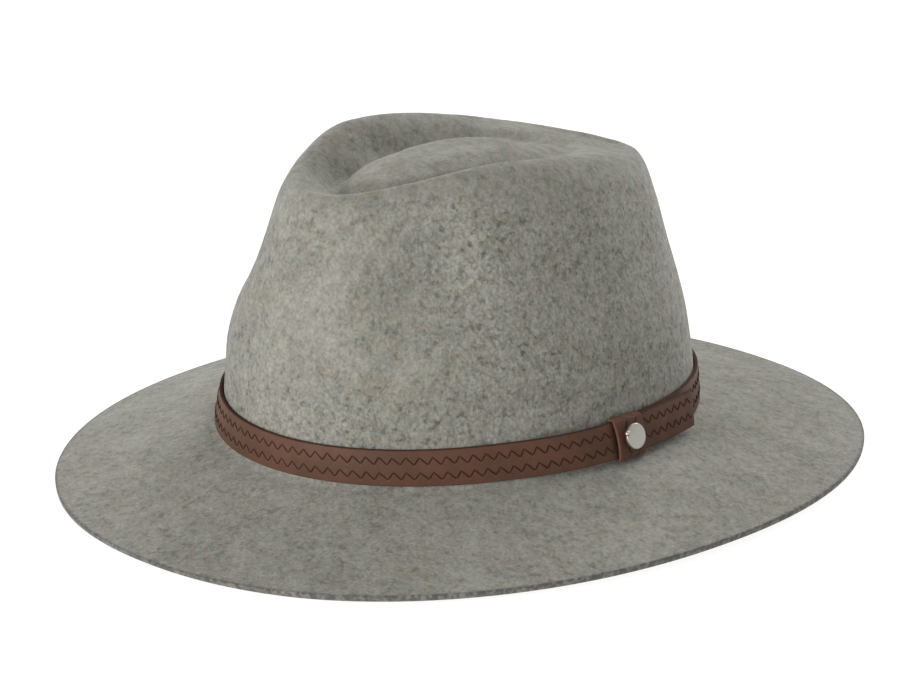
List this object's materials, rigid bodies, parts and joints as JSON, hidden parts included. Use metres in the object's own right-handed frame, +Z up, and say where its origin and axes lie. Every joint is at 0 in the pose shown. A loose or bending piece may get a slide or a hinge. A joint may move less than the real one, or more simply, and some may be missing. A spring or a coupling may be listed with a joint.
{
  "type": "safari hat",
  "caption": "Wool felt safari hat with a pinched teardrop crown, a wide down-sloping brim and a leather strap band held by a keeper loop with a metal stud.",
  "frame": {"origin": "on the table under the middle of the brim, where the brim's edge rests", "axes": "+Z up, front of the hat towards -Y, back towards +Y, wearer's left (the stud's side) towards +X"},
  "size_m": [0.2926, 0.342, 0.1375],
  "materials": {
    "felt": "soft wool felt, grey-beige melange",
    "strap_leather": "smooth satin brown leather with dark zigzag stitching",
    "keeper_leather": "smooth satin brown leather with dark zigzag stitching",
    "stud_metal": "satin silver-coloured metal"
  },
  "bodies": {
    "root": {"felt_body": "felt", "band_strap": "strap_leather", "keeper_loop": "keeper_leather", "stud": "stud_metal"}
  },
  "joints": []
}
